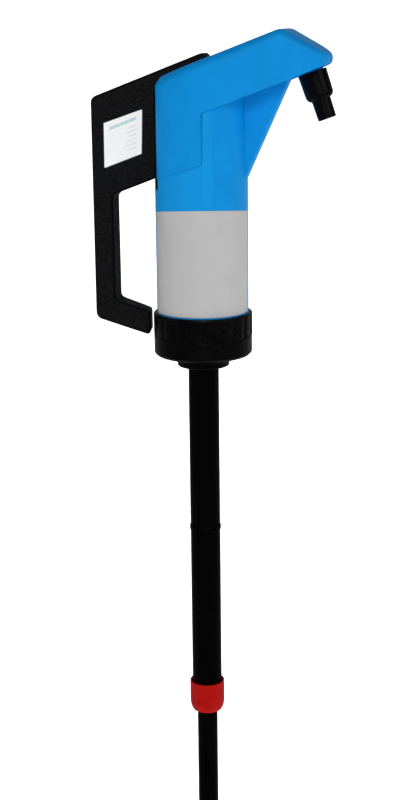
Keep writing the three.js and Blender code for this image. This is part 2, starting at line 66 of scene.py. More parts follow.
# ---------------------------------------------------------------- driving dimensions, mm
GAP = 0.3
BARREL_RADIUS = 47.4
BARREL_BORE = 44.0
BARREL_FOOT = 10.2
HOOD_RADIUS = 48.2
HOOD_WALL = 2.2
ROOF_SLOPE = 0.378
ROOF_AT_AXIS = 297.2
CREST_X = 86.8
CREST_BLEND = 4.0
NOSE_SLOPE = 0.56
NOSE_CORNER = (110.5, 12.0, 21.0)  # x, y and radius of the nose's two plan corners
NOSE_TIP_X = NOSE_CORNER[0] + NOSE_CORNER[2]
HOOD_EDGE_RADIUS = 7.0  # rounding of the roof's rim at the head's back
HOOD_EDGE_LOSS = 4.5  # what it loses on the way to the nose tip
HOOD_EDGE_SWELL = 6.0  # what it gains half way round
LEAST_EDGE_RADIUS = 2.0
ROOF_CLEARANCE = 0.4  # extra room between the hood's roof and what is under it
HEAD_FLOOR = 150.0
PAST_HEAD = 70.0  # half width of shapes that reach right across the head
PAST_BACK = -60.0  # back end of shapes that reach out of the head's back
PAST_TOP = 400.0
UNDERSIDE_AT_AXIS = 245.3
SKIRT_AT_AXIS = 196.0
SKIRT_SLOPE = 0.335
CHEEK_X = 11.3
SLOT_HALF = 27.0
SLOT_FOOT = 172.0
SLOT_BACK = -36.0
ROOF_SLOT_HALF = 14.5
ROOF_SLOT_END = 16.5
WELL_WALL_X = -33.0
WEB_HALF = 9.0
WEB_FOOT = (47.3, 183.1)  # x and z at which the gusset leaves the barrel
WEB_SLOPE = 0.457
SPIGOT_BORE = 8.0
COLLAR_RADIUS = 51.3
COLLAR_BORE = 47.7
COLLAR_FOOT = 20.8
COLLAR_TOP = 45.0
CAP_RADIUS = 51.0
CAP_TOP = 20.5
NIPPLE_RADIUS = 27.2
NIPPLE_FOOT = -12.0
NOZZLE_TILT = 19 * DEGREE
NOZZLE_PLACE = Vector((112.6, 0, 287.8))
FULCRUM = (-28.0, 258.0)
LEVER_HALF = 13.5
LEVER_REST = 32 * DEGREE
HUB_RADIUS = 12.0
HUB_HALF = 26.0
BUSH_BORE = 6.9
PIN_BORE = 4.8
HOOK_ROOT_X = -70.0
HOOK_TOP_Z = 60.0
HOOK_LEAN = 4.2  # the far side of the hook's end face lies this much nearer the grip
TUBE_RADIUS = 16.0
TUBE_BORE = 13.6
JOINT_BORE = 14.8  # of the step in which the two tubes hold the joint ring
TUBE_FOOT = -384.0
INNER_TUBE_RADIUS = 11.0
INNER_TUBE_BORE = 9.0
INNER_TUBE_FOOT = -590.0
STRAINER_FOOT = -600.0
ROUND = 128  # segments of the largest round walls
VIEW_AZIMUTH = 13 * DEGREE
WORLD_LIGHT = 0.25
WORLD_GLOSS = 0.012
FLOOR_IN_GLOSS = (0.13, 0.13, 0.13)


def roof_z(x):
    rise = ROOF_AT_AXIS + ROOF_SLOPE * x
    crest = ROOF_AT_AXIS + ROOF_SLOPE * CREST_X
    fall = crest - NOSE_SLOPE * (x - CREST_X)
    near = max(CREST_BLEND - abs(rise - fall), 0) / CREST_BLEND
    return min(rise, fall) - near * near * CREST_BLEND / 4


def underside_z(x):
    return UNDERSIDE_AT_AXIS + ROOF_SLOPE * x


def skirt_z(x):
    return SKIRT_AT_AXIS + SKIRT_SLOPE * x


def web_x(z):
    return WEB_FOOT[0] + (z - WEB_FOOT[1]) * WEB_SLOPE


# ---------------------------------------------------------------- mesh tools
def add_object(name, mesh):
    obj = bpy.data.objects.new(name, mesh)
    bpy.context.scene.collection.objects.link(obj)
    return obj


def solid(name, points, faces):
    """A closed object from points in millimetres, its faces turned outwards."""
    mesh = bpy.data.meshes.new(name)
    mesh.from_pydata([Vector(p) * MM for p in points], [], faces)
    bm = bmesh.new()
    bm.from_mesh(mesh)
    bmesh.ops.recalc_face_normals(bm, faces=bm.faces)
    bm.to_mesh(mesh)
    bm.free()
    return add_object(name, mesh)


def rounded(corners, steps=6):
    """A closed outline through (x, y, radius) corners, each rounded to its radius."""
    points = []
    for i, corner in enumerate(corners):
        x, y, radius = (*corner, 0)[:3]
        if not radius:
            points.append(Vector((x, y)))
            continue
        here = Vector((x, y))
        before = Vector(corners[i - 1][:2]) - here
        after = Vector(corners[(i + 1) % len(corners)][:2]) - here
        reach = radius / math.tan(before.angle(after) / 2)
        start = here + before.normalized() * reach
        end = here + after.normalized() * reach
        for k in range(steps + 1):
            t = k / steps
            points.append(start * (1 - t) ** 2 + here * 2 * t * (1 - t) + end * t * t)
    return points


def outline_area(points):
    pairs = zip(points, points[1:] + points[:1])
    return sum(a.x * b.y - b.x * a.y for a, b in pairs) / 2


def shrunk(points, distance):
    """The outline moved inwards by a distance, corner by corner."""
    side = 1 if outline_area(points) > 0 else -1
    moved = []
    for i, point in enumerate(points):
        arrive = (point - points[i - 1]).normalized()
        leave = (points[(i + 1) % len(points)] - point).normalized()
        normal = Vector((-arrive.y - leave.y, arrive.x + leave.x)).normalized() * side
        spread = max(normal.dot(Vector((-arrive.y, arrive.x)) * side), 0.3)
        moved.append(point + normal * distance / spread)
    return moved


def skin(name, rows, capped=True):
    """Joins closed rows of points into a solid, with a face over the first and the last row."""
    around = len(rows[0])
    points = [p for row in rows for p in row]
    faces = []
    last = len(rows) - 1 if capped else len(rows)
    for k in range(last):
        for i in range(around):
            j = (i + 1) % around
            above = (k + 1) % len(rows)
            faces.append((k * around + i, k * around + j, above * around + j, above * around + i))
    if capped:
        faces.append(tuple(range(around)))
        faces.append(tuple(range((len(rows) - 1) * around, len(rows) * around)))
    return solid(name, points, faces)


def turned(name, corners, segments=96):
    """A ring about Z from a closed profile of (radius, z, rounding) corners."""
    profile = rounded(corners, steps=4)
    rows = []
    for i in range(segments):
        angle = 2 * math.pi * i / segments
        rows.append([(p.x * math.cos(angle), p.x * math.sin(angle), p.y) for p in profile])
    return skin(name, rows, capped=False)


def post(name, radius, foot, top, segments=64):
    """A cylinder along Z."""
    rows = []
    for z in (foot, top):
        angles = [2 * math.pi * i / segments for i in range(segments)]
        rows.append([(radius * math.cos(a), radius * math.sin(a), z) for a in angles])
    return skin(name, rows)


def cross_pin(name, radius, half, x, z):
    """A cylinder along Y."""
    segments = 64
    rows = []
    for y in (-half, half):
        angles = [2 * math.pi * i / segments for i in range(segments)]
        rows.append([(x + radius * math.cos(a), y, z + radius * math.sin(a)) for a in angles])
    return skin(name, rows)


def plate(name, outline, low, high, edge=0.0, steps=5):
    """A plate standing in the XZ plane between two values of Y, with edges of a given radius."""
    rows = []
    if edge:
        for k in range(steps + 1):
            turn = k / steps * math.pi / 2
            inset = edge * (1 - math.sin(turn))
            rows.append((shrunk(outline, inset), low + edge * (1 - math.cos(turn))))
        rows += [(points, low + high - y) for points, y in reversed(rows)]
    else:
        rows = [(outline, low), (outline, high)]
    return skin(name, [[(p.x, y, p.y) for p in points] for points, y in rows])


def block(name, low, high):
    """A box between two corners (x, y, z)."""
    corners = ((low[0], low[2]), (high[0], low[2]), (high[0], high[2]), (low[0], high[2]))
    return plate(name, [Vector(corner) for corner in corners], low[1], high[1])


def settle(obj):
    """Turns the object's modifiers into plain mesh."""
    graph = bpy.context.evaluated_depsgraph_get()
    mesh = bpy.data.meshes.new_from_object(obj.evaluated_get(graph))
    obj.modifiers.clear()
    obj.data = mesh
    return obj


def combine(operation, base, *others):
    for other in others:
        step = base.modifiers.new("combine", "BOOLEAN")
        step.operation = operation
        step.solver = "MANIFOLD"
        step.object = other
    settle(base)
    for other in others:
        bpy.data.objects.remove(other)
    return base


def join(base, *others):
    return combine("UNION", base, *others)


def cut(base, *others):
    return combine("DIFFERENCE", base, *others)


def common(base, *others):
    return combine("INTERSECT", base, *others)


def soften(obj, width, angle):
    """Rounds the edges sharper than an angle by a small width, in millimetres."""
    bevel = obj.modifiers.new("bevel", "BEVEL")
    bevel.width = width * MM
    bevel.segments = 2
    bevel.limit_method = "ANGLE"
    bevel.angle_limit = angle * DEGREE
    bevel.use_clamp_overlap = False
    return settle(obj)


def smooth(obj):
    """Smooth shading that keeps flat faces flat and breaks at sharp edges."""
    sharp_angle = 34 * DEGREE
    for polygon in obj.data.polygons:
        polygon.use_smooth = True
    obj.data.set_sharp_from_angle(angle=sharp_angle)
    weighted = obj.modifiers.new("weighted", "WEIGHTED_NORMAL")
    weighted.keep_sharp = True
    weighted.weight = 60
    return settle(obj)


def place(obj, matrix):
    obj.data.transform(matrix)
    return obj


def show(obj, body, material, slot, *nodes):
    """Gives a finished piece its material, its body and the CAD nodes it stands for."""
    smooth(obj)
    obj.data.materials.clear()
    obj.data.materials.append(material)
    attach(obj, body)
    if nodes:
        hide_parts(*nodes)
    return obj


# ---------------------------------------------------------------- materials
class Nodes:
    """A short way to write a material's node tree."""

    def __init__(self, name):
        self.material = bpy.data.materials.new(name)
        self.material.use_nodes = True
        self.tree = self.material.node_tree
        self.shader = self.tree.nodes["Principled BSDF"]
        self.place = self.add("ShaderNodeTexCoord").outputs["Object"]

    def add(self, kind, **settings):
        node = self.tree.nodes.new(kind)
        for key, value in settings.items():
            setattr(node, key, value)
        return node

    def put(self, socket, value):
        if isinstance(value, bpy.types.NodeSocket):
            self.tree.links.new(value, socket)
        else:
            socket.default_value = value

    def stretched(self, scale):
        mapping = self.add("ShaderNodeMapping")
        self.put(mapping.inputs["Vector"], self.place)
        mapping.inputs["Scale"].default_value = scale
        return mapping.outputs["Vector"]

    def noise(self, size_mm, detail=3.0, roughness=0.55, vector=None):
        node = self.add("ShaderNodeTexNoise")
        self.put(node.inputs["Vector"], vector or self.place)
        node.inputs["Scale"].default_value = 1 / (size_mm * MM)
        node.inputs["Detail"].default_value = detail
        node.inputs["Roughness"].default_value = roughness
        return node.outputs["Fac"]

    def cells(self, size_mm):
        node = self.add("ShaderNodeTexVoronoi", feature="F1")
        self.put(node.inputs["Vector"], self.place)
        node.inputs["Scale"].default_value = 1 / (size_mm * MM)
        return node.outputs["Distance"]

    def range(self, value, low, high, to_low=0.0, to_high=1.0):
        node = self.add("ShaderNodeMapRange")
        for socket, number in zip(node.inputs[:5], (value, low, high, to_low, to_high)):
            self.put(socket, number)
        return node.outputs["Result"]

    def math(self, operation, a, b=0.0):
        node = self.add("ShaderNodeMath", operation=operation)
        self.put(node.inputs[0], a)
        self.put(node.inputs[1], b)
        return node.outputs["Value"]

    def blend(self, share, a, b):
        node = self.add("ShaderNodeMix", data_type="RGBA")
        self.put(node.inputs["Factor"], share)
        for socket, value in ((node.inputs[6], a), (node.inputs[7], b)):
            self.put(socket, (*value, 1) if isinstance(value, tuple) else value)
        return node.outputs[2]

    def edges(self):
        """1 on outward edges, 0 on flat surfaces; the materials use it to paint highlights on edges."""
        return self.range(self.add("ShaderNodeNewGeometry").outputs["Pointiness"], 0.52, 0.6)

    def bump(self, height, depth_mm, normal=None):
        node = self.add("ShaderNodeBump")
        self.put(node.inputs["Height"], height)
        node.inputs["Distance"].default_value = depth_mm * MM
        node.inputs["Strength"].default_value = 1.0
        if normal:
            self.put(node.inputs["Normal"], normal)
        return node.outputs["Normal"]

    def finish(self, color, roughness, normal=None, **numbers):
        self.put(self.shader.inputs["Base Color"], color)
        self.put(self.shader.inputs["Roughness"], roughness)
        if normal:
            self.put(self.shader.inputs["Normal"], normal)
        for key, value in numbers.items():
            self.shader.inputs[key.replace("_", " ")].default_value = value
        return self.material


def blue_plastic():
    n = Nodes("blue_moulded_plastic")
    flow = n.noise(38, 2.0)
    fine = n.noise(0.9, 2.0)
    color = n.blend(n.range(flow, 0.35, 0.68), (0.0010, 0.252, 0.668), (0.0016, 0.275, 0.711))
    # painted highlight: outward edges lighter blue
    color = n.blend(n.math("MULTIPLY", n.edges(), 0.35), color, (0.01, 0.34, 0.80))
    scuffs = n.noise(7, 6.0, 0.7, n.stretched((1, 1, 0.35)))
    roughness = n.range(scuffs, 0.35, 0.7, 0.40, 0.54)
    ripple = n.bump(n.noise(16, 1.0), 0.10)
    return n.finish(color, roughness, n.bump(fine, 0.020, ripple), Specular_IOR_Level=0.08)


def grained_black():
    """Spark-grained on the broad faces, smooth on the sides and rounded edges, which are darker partly for
    want of grain and partly as painted shade.
    """
    n = Nodes("grained_black_plastic")
    split = n.add("ShaderNodeSeparateXYZ")
    n.put(split.inputs[0], n.add("ShaderNodeTexCoord").outputs["Normal"])
    # 1 on the broad faces, 0 on the sides and rounded edges, which take the darker colour below, partly as
    # painted shade
    face = n.range(n.math("ABSOLUTE", split.outputs["Y"]), 0.90, 0.985)
    spark = n.cells(1.9)
    fine = n.noise(1.9, 4.0, 0.75)
    speck = n.range(fine, 0.44, 0.68)
    grain = n.blend(speck, (0.0006, 0.0008, 0.0012), (0.0165, 0.0175, 0.0195))
    grain = n.blend(n.math("MULTIPLY", n.noise(26, 2.0), 0.25), grain, (0.006, 0.006, 0.007))
    # the sides' darker colour: no grain, and painted shade
    color = n.blend(face, (0.0006, 0.0006, 0.0008), grain)
    roughness = n.range(n.noise(9, 4.0), 0.3, 0.7, 0.50, 0.66)
    height = n.math("MULTIPLY", n.math("ADD", fine, spark), face)
    return n.finish(color, roughness, n.bump(height, 0.12), Specular_IOR_Level=0.12)


def gloss_black():
    n = Nodes("gloss_black_plastic")
    drift = n.range(n.noise(20, 3.0), 0.35, 0.7)
    color = n.blend(drift, (0.0006, 0.0006, 0.0007), (0.0018, 0.0018, 0.002))
    # painted highlight: outward edges, the rib edges among them, lighter grey
    color = n.blend(n.math("MULTIPLY", n.edges(), 0.2), color, (0.012, 0.012, 0.013))
    roughness = n.range(n.noise(5, 3.0, 0.6), 0.3, 0.75, 0.24, 0.36)
    normal = n.bump(n.noise(0.7, 2.0), 0.003, n.bump(n.noise(9, 2.0), 0.06))
    return n.finish(color, roughness, normal, Specular_IOR_Level=0.16)


def tube_black():
    n = Nodes("extruded_black_tube")
    lines = n.noise(0.8, 3.0, 0.6, n.stretched((1, 1, 0.004)))
    drift = n.noise(30, 3.0, 0.6, n.stretched((1, 1, 0.3)))
    color = n.blend(n.range(drift, 0.35, 0.7), (0.0003, 0.0003, 0.0004), (0.0011, 0.0011, 0.0013))
    roughness = n.range(n.noise(6, 5.0, 0.65), 0.3, 0.7, 0.34, 0.50)
    return n.finish(color, roughness, n.bump(lines, 0.03), Specular_IOR_Level=0.05)


def satin_black():
    n = Nodes("satin_black_plastic")
    drift = n.range(n.noise(8, 3.0), 0.35, 0.7)
    color = n.blend(drift, (0.0006, 0.0006, 0.0007), (0.0022, 0.0022, 0.0025))
    # painted highlight: outward edges lighter grey
    color = n.blend(n.math("MULTIPLY", n.edges(), 0.2), color, (0.018, 0.018, 0.02))
    roughness = n.range(n.noise(4, 5.0, 0.65), 0.3, 0.7, 0.26, 0.40)
    return n.finish(color, roughness, n.bump(n.noise(0.6, 3.0), 0.025), Specular_IOR_Level=0.16)


def red_plastic():
    n = Nodes("red_moulded_plastic")
    color = n.blend(n.range(n.noise(11, 3.0), 0.35, 0.7), (0.35, 0.0015, 0.0006), (0.42, 0.0030, 0.0016))
    # painted highlight: outward edges lighter red
    color = n.blend(n.math("MULTIPLY", n.edges(), 0.3), color, (0.44, 0.009, 0.006))
    roughness = n.range(n.noise(4, 5.0, 0.65), 0.3, 0.7, 0.42, 0.58)
    normal = n.bump(n.noise(0.7, 3.0), 0.03, n.bump(n.noise(6, 1.0), 0.06))
    return n.finish(color, roughness, normal, Specular_IOR_Level=0.06)


def label_film():
    n = Nodes("grey_label_film")
    color = n.blend(n.range(n.noise(30, 3.0), 0.3, 0.7), (0.475, 0.475, 0.475), (0.51, 0.51, 0.51))
    fibres = n.noise(0.5, 4.0, 0.7)
    color = n.blend(n.range(fibres, 0.4, 0.9, 0.0, 0.15), color, (0.38, 0.38, 0.385))
    roughness = n.range(n.noise(8, 5.0), 0.3, 0.7, 0.50, 0.64)
    return n.finish(color, roughness, n.bump(fibres, 0.012), Specular_IOR_Level=0.25)


def sticker_paper(low, high, slope):
    """White paper with plain printed rules, a generic stand-in for its lettering."""
    n = Nodes("printed_white_sticker")
    split = n.add("ShaderNodeSeparateXYZ")
    n.put(split.inputs[0], n.place)
    x, z = split.outputs["X"], split.outputs["Z"]
    across = n.range(x, low.x, high.x)
    level = n.math("SUBTRACT", z, n.math("MULTIPLY", x, slope))
    rise = n.range(level, low.z - slope * low.x, high.z - slope * high.x)

    def rule(height, half, left, right):
        """A level line between two shares of the sheet's width, with a soft edge."""
        away = n.math("ABSOLUTE", n.math("SUBTRACT", rise, height))
        line = n.range(away, half, half * 0.6)
        start = n.range(across, left, left + 0.02)
        end = n.range(across, right, right - 0.02)
        span = n.math("MULTIPLY", start, end)
        return n.math("MULTIPLY", line, span)

    margin = 0.14
    bar_half, thin_half, thin_strength = 0.045, 0.018, 0.6
    ink = rule(1 - margin, bar_half, margin, 1 - margin)
    for height, left in ((0.70, 0.62), (0.60, 0.55), (0.50, 0.66), (0.40, 0.58), (0.30, 0.52), (0.20, 0.64)):
        thin = n.math("MULTIPLY", rule(height, thin_half, left, 1 - margin), thin_strength)
        ink = n.math("MAXIMUM", ink, thin)
    worn = n.range(n.noise(3.5, 3.0), 0.3, 0.7, 0.35, 0.75)
    paper = n.blend(n.range(n.noise(6, 4.0), 0.3, 0.7), (0.96, 0.97, 0.97), (0.99, 0.99, 0.99))
    color = n.blend(n.math("MULTIPLY", ink, worn), paper, (0.16, 0.52, 0.58))
    return n.finish(color, n.range(n.noise(3, 4.0), 0.3, 0.7, 0.42, 0.55), n.bump(n.noise(0.5, 3.0), 0.01))


def painted_shadow_border():
    n = Nodes("sticker_edge_painted_shadow")
    # painted shadow: a dark blue sheet that shows as a thin dark strip round the sticker
    color = n.blend(n.noise(2, 3.0), (0.010, 0.010, 0.05), (0.022, 0.02, 0.09))
    return n.finish(color, n.range(n.noise(3, 3.0), 0.3, 0.7, 0.4, 0.55), n.bump(n.noise(0.5, 2.0), 0.01))


def natural_plastic():
    n = Nodes("natural_plastic")
    color = n.blend(n.range(n.noise(12, 3.0), 0.3, 0.7), (0.66, 0.63, 0.54), (0.75, 0.73, 0.65))
    # painted highlight: outward edges paler
    color = n.blend(n.math("MULTIPLY", n.edges(), 0.3), color, (0.85, 0.84, 0.78))
    roughness = n.range(n.noise(4, 4.0), 0.3, 0.7, 0.38, 0.52)
    return n.finish(color, roughness, n.bump(n.noise(0.7, 2.0), 0.02))


def rubber():
    n = Nodes("black_rubber")
    color = n.blend(n.noise(3, 4.0), (0.008, 0.008, 0.009), (0.02, 0.02, 0.021))
    return n.finish(color, n.range(n.noise(2, 4.0), 0.3, 0.7, 0.70, 0.86), n.bump(n.noise(0.5, 3.0), 0.03))


def steel():
    n = Nodes("turned_steel")
    rings = n.noise(0.5, 2.0, 0.5, n.stretched((0.02, 0.02, 1)))
    color = n.blend(n.noise(14, 3.0), (0.50, 0.51, 0.52), (0.62, 0.63, 0.64))
    return n.finish(color, n.range(rings, 0.3, 0.7, 0.22, 0.38), n.bump(rings, 0.008), Metallic=1.0)


BLUE = blue_plastic()
GRAINED = grained_black()
GLOSS = gloss_black()
TUBE = tube_black()
SATIN = satin_black()
RED = red_plastic()
GREY = label_film()
NATURAL = natural_plastic()
RUBBER = rubber()
STEEL = steel()
EDGE_SHADOW = painted_shadow_border()


# ---------------------------------------------------------------- head
def plan_outline(inset):
    """Near half of the head's plan from the back to the nose tip: (x, y, share of the way round)."""
    radius = HOOD_RADIUS - inset
    corner_x, corner_y, corner_radius = NOSE_CORNER
    corner = corner_radius - inset
    side_end = -corner_y - corner
    points = []
    arc, side, bend, nose = 24, 30, 10, 3
    back_share, corner_share, tip_share = 9 / 23, 17 / 23, 22 / 23
    for i in range(arc):
        angle = math.pi + i / arc * math.pi / 2
        points.append((radius * math.cos(angle), radius * math.sin(angle), back_share * i / arc))
    for i in range(side):
        t = i / side
        share = back_share + (corner_share - back_share) * t
        points.append((corner_x * t, -radius + (side_end + radius) * t, share))
    for i in range(bend):
        angle = -math.pi / 2 + i / bend * math.pi / 2
        share = corner_share + (tip_share - corner_share) * i / bend
        points.append((corner_x + corner * math.cos(angle), -corner_y + corner * math.sin(angle), share))
    for i in range(nose + 1):
        share = tip_share + (1 - tip_share) * i / nose
        points.append((corner_x + corner, -corner_y * (1 - i / nose), share))
    return points


def rim_radius(share, inset):
    """Rounding of the roof's rim at a share of the way round from the back to the nose tip."""
    radius = HOOD_EDGE_RADIUS - HOOD_EDGE_LOSS * share + HOOD_EDGE_SWELL * math.sin(share * math.pi)
    return max(radius - inset, LEAST_EDGE_RADIUS)


def head_rows(inset, drop):
    """Closed rows up the head's outer form, shrunk by inset and lowered by drop."""
    arc_steps = 8
    plan = plan_outline(0)
    count = len(plan) - 1
    radii = [rim_radius(share, inset) for _, _, share in plan]
    rows = []

    def add_row(inset_at, height_at):
        near = []
        for i in range(count + 1):
            x, y, _ = plan_outline(inset + inset_at(i))[i]
            near.append((x, 0 if i in (0, count) else y, height_at(i, x)))
        rows.append(near + [(x, -y, z) for x, y, z in near[count - 1:0:-1]])

    add_row(lambda i: 0, lambda i, x: HEAD_FLOOR)
    for k in range(arc_steps + 1):
        turn = k / arc_steps * math.pi / 2
        inward, down = 1 - math.cos(turn), 1 - math.sin(turn)
        add_row(
            lambda i: radii[i] * inward,
            lambda i, x: roof_z(x) - drop - radii[i] * down,
        )
    return rows


def head_form(name, inset, drop, closed=True):
    """The head's form as a closed solid, or as an open sheet in millimetres."""
    rows = head_rows(inset, drop)
    around = len(rows[0])
    half = around // 2
    faces = []
    for k in range(len(rows) - 1):
        for i in range(around):
            j = (i + 1) % around
            faces.append((k * around + i, k * around + j, (k + 1) * around + j, (k + 1) * around + i))
    top = (len(rows) - 1) * around

    def strips(start, flip):
        """Faces across the head that close a row, each between a near and a far side point."""
        for i in range(half):
            ring = [i, i + 1, (around - i - 1) % around, (around - i) % around]
            ring = [start + k for k in dict.fromkeys(ring)]
            faces.append(tuple(reversed(ring) if flip else ring))

    strips(top, False)
    if closed:
        strips(0, True)
    points = [p for row in rows for p in row]
    if closed:
        return solid(name, points, faces)
    mesh = bpy.data.meshes.new(name)
    mesh.from_pydata(points, [], faces)
    return mesh


def hood_inside():
    """The room under the hood, a gap clear of its wall."""
    return head_form("inside", HOOD_WALL + GAP, HOOD_WALL + ROOF_CLEARANCE + GAP)


def cover_outline(gap):
    """Side view of what the hood covers: the cheeks over the barrel and the beam beyond them."""
    edge = CHEEK_X + gap
    tip, high = NOSE_TIP_X + 0.3, 345
    return rounded([
        (PAST_BACK, skirt_z(PAST_BACK) - gap),
        (edge, skirt_z(edge) - gap, 5),
        (edge, underside_z(edge) - gap, 3),
        (tip + gap, underside_z(tip) - gap, 9),
        (tip + gap, high),
        (PAST_BACK, high),
    ])


def inside_outline(outline, x, z):
    """Whether a point lies inside, by counting the edges on its +X side."""
    inside = False
    for a, b in zip(outline, outline[1:] + outline[:1]):
        if (a.y > z) != (b.y > z) and x < a.x + (z - a.y) / (b.y - a.y) * (b.x - a.x):
            inside = not inside
    return inside


def slice_sheet(bm, point, normal, low, high):
    """Splits the faces that reach into a box along a plane."""
    reached = []
    for face in bm.faces:
        corners = [v.co for v in face.verts]
        if all(
            max(c[k] for c in corners) > low[k] and min(c[k] for c in corners) < high[k]
            for k in range(3)
        ):
            reached.append(face)
    geometry = set(reached)
    for face in reached:
        geometry.update(face.edges)
        geometry.update(face.verts)
    bmesh.ops.bisect_plane(bm, geom=list(geometry), plane_co=point, plane_no=normal, dist=1e-4)


def drop_faces(bm, unwanted):
    faces = [f for f in bm.faces if unwanted(f.calc_center_median())]
    bmesh.ops.delete(bm, geom=faces, context="FACES")


def hood_shell():
    bm = bmesh.new()
    bm.from_mesh(head_form("hood_sheet", 0, 0, closed=False))
    outline = cover_outline(0)
    far, slack = 400, 0.01
    for a, b in zip(outline, outline[1:] + outline[:1]):
        if a.x == b.x and abs(a.x) > HOOD_RADIUS:
            continue  # the outline's upright ends lie outside the head
        run = b - a
        low = (min(a.x, b.x) - slack, -far, min(a.y, b.y) - slack)
        high = (max(a.x, b.x) + slack, far, max(a.y, b.y) + slack)
        slice_sheet(bm, (a.x, 0, a.y), (-run.y, 0, run.x), low, high)
    drop_faces(bm, lambda c: not inside_outline(outline, c.x, c.z))
    for side in (-1, 1):
        slice_sheet(bm, (0, side * SLOT_HALF, 0), (0, 1, 0), (-far, -far, 0), (SLOT_BACK, far, far))
        roof_end = (ROOF_SLOT_END, far, far)
        slice_sheet(bm, (0, side * ROOF_SLOT_HALF, 0), (0, 1, 0), (-far, -far, 0), roof_end)
    for end, half in ((SLOT_BACK, SLOT_HALF), (ROOF_SLOT_END, ROOF_SLOT_HALF)):
        slice_sheet(bm, (end, 0, 0), (1, 0, 0), (-far, -half, 0), (far, half, far))
    drop_faces(bm, lambda c: c.x < SLOT_BACK and abs(c.y) < SLOT_HALF)
    drop_faces(bm, lambda c: c.x < ROOF_SLOT_END and abs(c.y) < ROOF_SLOT_HALF)
    bmesh.ops.remove_doubles(bm, verts=bm.verts, dist=0.02)
    loose = [v for v in bm.verts if not v.link_faces]
    bmesh.ops.delete(bm, geom=loose, context="VERTS")
    bmesh.ops.scale(bm, vec=(MM, MM, MM), verts=bm.verts)
    mesh = bpy.data.meshes.new("hood_shell")
    bm.to_mesh(mesh)
    bm.free()
    hood = add_object("hood_shell", mesh)
    wall = hood.modifiers.new("wall", "SOLIDIFY")
    wall.thickness = HOOD_WALL * MM
    wall.offset = -1
    wall.use_even_offset = True
    wall.use_quality_normals = True
    settle(hood)
    return soften(hood, 0.5, angle=55)


def nozzle_matrix():
    """From the nozzle's own frame, its axis along Z, to its place under the nose."""
    turn = Matrix.Rotation(-NOZZLE_TILT, 4, "Y")
    return Matrix.Translation(NOZZLE_PLACE * MM) @ turn


def barrel_shell():
    """The barrel, the discharge duct in the beam, the gusset and the lever's bearings in one piece."""
    high = 320
    wall = [
        (BARREL_BORE, BARREL_FOOT), (BARREL_RADIUS, BARREL_FOOT), (BARREL_RADIUS, high), (BARREL_BORE, high),
    ]
    cover = plate("cover", cover_outline(GAP), -PAST_HEAD, PAST_HEAD)
    lower = cut(turned("barrel_shell", wall, ROUND), cover)
    upper = common(turned("upper", wall, ROUND), hood_inside())
    duct = common(join(beam_tray(), duct_trunk()), hood_inside())
    body = join(lower, upper, duct, gusset(), spigot())
    outlet = place(post("outlet", SPIGOT_BORE, -13, 8), nozzle_matrix())
    bore = post("bore", BARREL_BORE, -10, PAST_TOP, ROUND)
    slot = block("slot", (PAST_BACK, -SLOT_HALF, SLOT_FOOT), (-30, SLOT_HALF, PAST_TOP))
    cut(body, outlet, bore, slot)
    join(body, slot_well(), pin_bosses())
    return cut(body, cross_pin("pin_hole", PIN_BORE, 50, *FULCRUM))


def beam_tray():
    """The floor of the beam, turned up behind the nose's rounded lower corner."""
    start, front = 12, NOSE_TIP_X - 1.2
    low, high, lip = 1.5, 4.3, 16
    back = front - (high - low)
    outline = rounded([
        (start, underside_z(start) + low),
        (front, underside_z(front) + low, 8),
        (front, underside_z(front) + lip),
        (back, underside_z(back) + lip),
        (back, underside_z(back) + high, 6),
        (start, underside_z(start) + high),
    ])
    return plate("tray", outline, -PAST_HEAD, PAST_HEAD)


def duct_trunk():
    """The discharge duct in the beam, cut low at its front end."""
    start, bend, end = 46, 100, 122.8
    low, shoulder, high = 3, 13, 24
    half = 13.5
    outline = rounded([
        (start, underside_z(start) + low),
        (end, underside_z(end) + low),
        (end, underside_z(end) + shoulder),
        (bend, underside_z(bend) + high),
        (start, underside_z(start) + high),
    ])
    return plate("trunk", outline, -half, half)


def gusset():
    """The web under the beam, from the barrel's front."""
    root_x, foot, head = 30, 160, 282
    rise = 2.9
    tip_x = web_x(head) + 2
    outline = rounded([
        (root_x, foot),
        (web_x(foot), foot),
        (web_x(head), head),
        (tip_x, underside_z(tip_x) + rise),
        (root_x, underside_z(root_x) + rise),
    ])
    return plate("gusset", outline, -WEB_HALF, WEB_HALF, 1.6)


def spigot():
    """The short pipe that holds the nozzle."""
    radius, foot, top = 11.6, -12, 4
    profile = [(SPIGOT_BORE, foot), (radius, foot), (radius, top), (SPIGOT_BORE, top)]
    return place(turned("spigot", profile, 64), nozzle_matrix())


def slot_well():
    """The floor and walls that close the barrel below and beside the lever's slot."""
    wall = 2.5
    half = SLOT_HALF + wall
    outer = block("well", (-46, -half, SLOT_FOOT - wall), (WELL_WALL_X + 2, half, 207))
    well = common(outer, post("round", BARREL_BORE + 0.6, 160, 210, ROUND))
    return cut(well, block("space", (PAST_BACK, -SLOT_HALF, SLOT_FOOT), (WELL_WALL_X, SLOT_HALF, 300)))


def pin_bosses():
    """The two bosses that hold the fulcrum pin, one on each side of the lever."""
    radius, half, inner = 9, 42, 26.8
    between = block("between", (PAST_BACK, -inner, 200), (-PAST_BACK, inner, 300))
    bosses = cut(cross_pin("bosses", radius, half, *FULCRUM), between)
    return common(bosses, hood_inside())


show(hood_shell(), "pump_body", BLUE, "blue_shell", "hood_cover")
show(barrel_shell(), "pump_body", BLUE, "blue_shell", "barrel_body")


